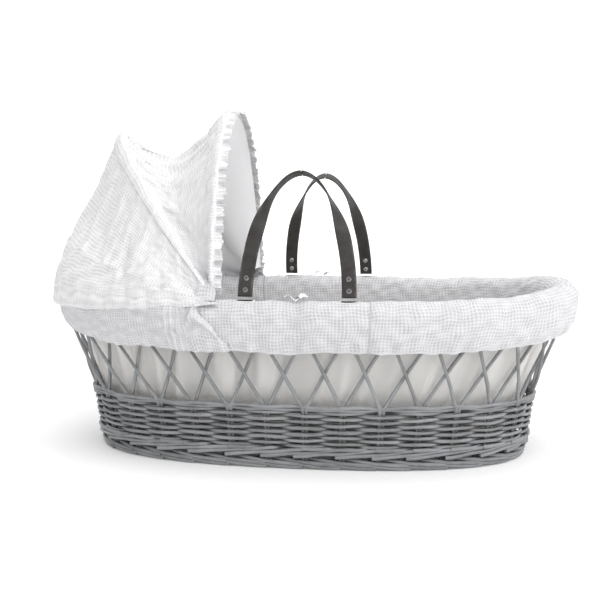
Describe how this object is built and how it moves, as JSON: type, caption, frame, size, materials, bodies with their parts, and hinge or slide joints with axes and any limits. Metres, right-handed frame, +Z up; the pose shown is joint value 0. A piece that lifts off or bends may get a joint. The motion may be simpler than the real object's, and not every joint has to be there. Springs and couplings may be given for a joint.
{
  "type": "moses basket",
  "caption": "Woven willow baby basket with an open lattice wall, padded waffle-cotton rim cover, two strap handles and a folding fabric hood on wire hoops.",
  "frame": {"origin": "middle of the base's underside, on the surface that the basket stands on", "axes": "+X to the foot end, -X to the head end under the hood, +Z up, the front handle on the -Y side"},
  "size_m": [0.8798, 0.465, 0.5623],
  "materials": {
    "grey_willow": "satin painted willow rods",
    "waffle_cover": "white waffle-weave cotton, padded",
    "waffle_hood": "white waffle-weave cotton, unpadded",
    "liner_cotton": "plain white cotton",
    "mattress_cotton": "plain white cotton",
    "frill_cotton": "gathered white cotton",
    "cotton_tape": "white cotton tape",
    "strap_leather": "dark grey-brown, satin",
    "wire_steel": "bright drawn wire",
    "rivet_chrome": "polished"
  },
  "bodies": {
    "basket": {"base_panel": "grey_willow", "foot_border": "grey_willow", "wall_weave": "grey_willow", "stake_panel_01": "grey_willow", "stake_panel_02": "grey_willow", "stake_panel_03": "grey_willow", "stake_panel_04": "grey_willow", "stake_panel_05": "grey_willow", "stake_panel_06": "grey_willow", "stake_panel_07": "grey_willow", "stake_panel_08": "grey_willow", "stake_panel_09": "grey_willow", "stake_panel_10": "grey_willow", "stake_panel_11": "grey_willow", "stake_panel_12": "grey_willow", "stake_panel_13": "grey_willow", "stake_panel_14": "grey_willow", "stake_panel_15": "grey_willow", "stake_panel_16": "grey_willow", "border_weave": "grey_willow", "rim_rod": "grey_willow", "liner_foot_back": "liner_cotton", "liner_head_back": "liner_cotton", "liner_head_front": "liner_cotton", "liner_foot_front": "liner_cotton", "mattress": "mattress_cotton", "rim_cover_foot_back": "waffle_cover", "rim_cover_head_back": "waffle_cover", "rim_cover_head_front": "waffle_cover", "rim_cover_foot_front": "waffle_cover", "cover_tie_front": "cotton_tape", "cover_tie_back": "cotton_tape", "handle_loop_front_left": "strap_leather", "handle_loop_front_right": "strap_leather", "handle_loop_back_left": "strap_leather", "handle_loop_back_right": "strap_leather", "hood_prong_front": "wire_steel", "hood_prong_back": "wire_steel", "hood_pin_front": "rivet_chrome", "hood_pin_back": "rivet_chrome", "hood_skirt": "waffle_hood", "hood_back_panel": "waffle_hood"},
    "hood_rear": {"rear_hoop": "wire_steel", "hood_top_panel": "waffle_hood"},
    "hood_front": {"front_hoop": "wire_steel", "hood_frill": "frill_cotton"},
    "carry_front": {"handle_front": "strap_leather", "rivet_handle_front_left_1": "rivet_chrome", "rivet_handle_front_left_2": "rivet_chrome", "rivet_handle_front_right_1": "rivet_chrome", "rivet_handle_front_right_2": "rivet_chrome"},
    "carry_back": {"handle_back": "strap_leather", "rivet_handle_back_left_1": "rivet_chrome", "rivet_handle_back_left_2": "rivet_chrome", "rivet_handle_back_right_1": "rivet_chrome", "rivet_handle_back_right_2": "rivet_chrome"}
  },
  "joints": [
    {"name": "rear_hoop_fold", "type": "hinge", "parent": "basket", "child": "hood_rear", "pos_m": [-0.13, 0, 0.273], "axis": [0, -1, 0], "range_deg": [0, 48], "deforming": ["hood_back_panel"]},
    {"name": "front_hoop_fold", "type": "hinge", "parent": "hood_rear", "child": "hood_front", "pos_m": [-0.13, 0, 0.273], "axis": [0, -1, 0], "range_deg": [0, 30], "deforming": ["hood_top_panel"]},
    {"name": "handle_front_swing", "type": "hinge", "parent": "basket", "child": "carry_front", "pos_m": [0, -0.2048, 0.269], "axis": [1, 0, 0], "range_deg": [-45, 100]},
    {"name": "handle_back_swing", "type": "hinge", "parent": "basket", "child": "carry_back", "pos_m": [0, 0.205, 0.269], "axis": [-1, 0, 0], "range_deg": [-45, 100]}
  ]
}
